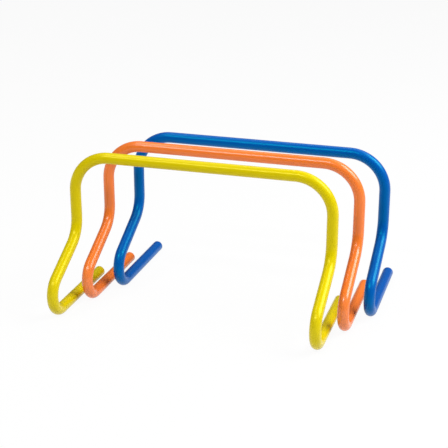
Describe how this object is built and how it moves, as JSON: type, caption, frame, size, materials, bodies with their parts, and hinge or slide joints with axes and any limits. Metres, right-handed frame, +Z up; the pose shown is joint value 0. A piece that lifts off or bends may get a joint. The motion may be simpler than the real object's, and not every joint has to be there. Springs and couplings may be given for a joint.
{
  "type": "speed hurdle",
  "caption": "Low training hurdles bent from glossy round plastic tube, each an arch on folded feet with plugged ends, standing staggered as a set.",
  "frame": {"origin": "on the floor, under the middle of the whole set as it stands in the picture", "axes": "+X along the bars to the right, +Y back from the toes to the heels, +Z up"},
  "size_m": [0.5908, 0.4021, 0.3],
  "materials": {
    "yellow_tube": "glossy extruded and heat-bent PVC tube, coloured all through",
    "yellow_plug": "moulded polyethylene end plug in the tube's colour",
    "orange_tube": "glossy extruded and heat-bent PVC tube, coloured all through",
    "orange_plug": "moulded polyethylene end plug in the tube's colour",
    "blue_tube": "glossy extruded and heat-bent PVC tube, coloured all through",
    "blue_plug": "moulded polyethylene end plug in the tube's colour"
  },
  "bodies": {
    "yellow_hurdle": {"yellow_tube": "yellow_tube", "yellow_left_plug": "yellow_plug", "yellow_right_plug": "yellow_plug"},
    "orange_hurdle": {"orange_tube": "orange_tube", "orange_left_plug": "orange_plug", "orange_right_plug": "orange_plug"},
    "blue_hurdle": {"blue_tube": "blue_tube", "blue_left_plug": "blue_plug", "blue_right_plug": "blue_plug"}
  },
  "joints": [
    {"name": "orange_spacing", "type": "slide", "parent": "yellow_hurdle", "child": "orange_hurdle", "axis": [0, 1, 0], "range_m": [0, 0.8]},
    {"name": "blue_spacing", "type": "slide", "parent": "orange_hurdle", "child": "blue_hurdle", "axis": [0, 1, 0], "range_m": [0, 0.8]}
  ]
}
